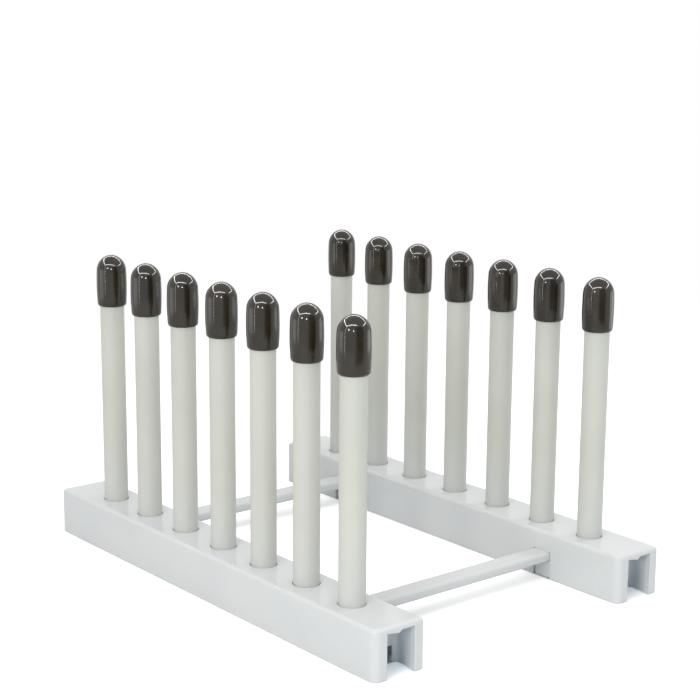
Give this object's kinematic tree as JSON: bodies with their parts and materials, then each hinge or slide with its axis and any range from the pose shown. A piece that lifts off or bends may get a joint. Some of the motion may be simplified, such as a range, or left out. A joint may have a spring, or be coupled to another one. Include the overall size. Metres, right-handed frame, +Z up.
{
  "type": "record display stand",
  "caption": "Low rack of parallel channel rails joined by cross bars, with a row of capped upright posts on each rail; discs stand in the gaps between the posts.",
  "frame": {"origin": "bottom centre of the stand, on the table it stands on", "axes": "+Z up, +Y along the rails from front to rear, +X from the left rail to the right rail"},
  "size_m": [0.1164, 0.169, 0.0995],
  "materials": {
    "rail": "semi-gloss light grey moulded plastic",
    "cross_bar": "semi-gloss light grey moulded plastic",
    "post": "satin warm grey plastic tube",
    "cap": "glossy black soft vinyl"
  },
  "bodies": {
    "root": {"left_rail": "rail", "right_rail": "rail", "front_cross_bar": "cross_bar", "rear_cross_bar": "cross_bar", "left_post_1": "post", "left_post_2": "post", "left_post_3": "post", "left_post_4": "post", "left_post_5": "post", "left_post_6": "post", "left_post_7": "post", "right_post_1": "post", "right_post_2": "post", "right_post_3": "post", "right_post_4": "post", "right_post_5": "post", "right_post_6": "post", "right_post_7": "post", "left_cap_1": "cap", "left_cap_2": "cap", "left_cap_3": "cap", "left_cap_4": "cap", "left_cap_5": "cap", "left_cap_6": "cap", "left_cap_7": "cap", "right_cap_1": "cap", "right_cap_2": "cap", "right_cap_3": "cap", "right_cap_4": "cap", "right_cap_5": "cap", "right_cap_6": "cap", "right_cap_7": "cap"}
  },
  "joints": []
}
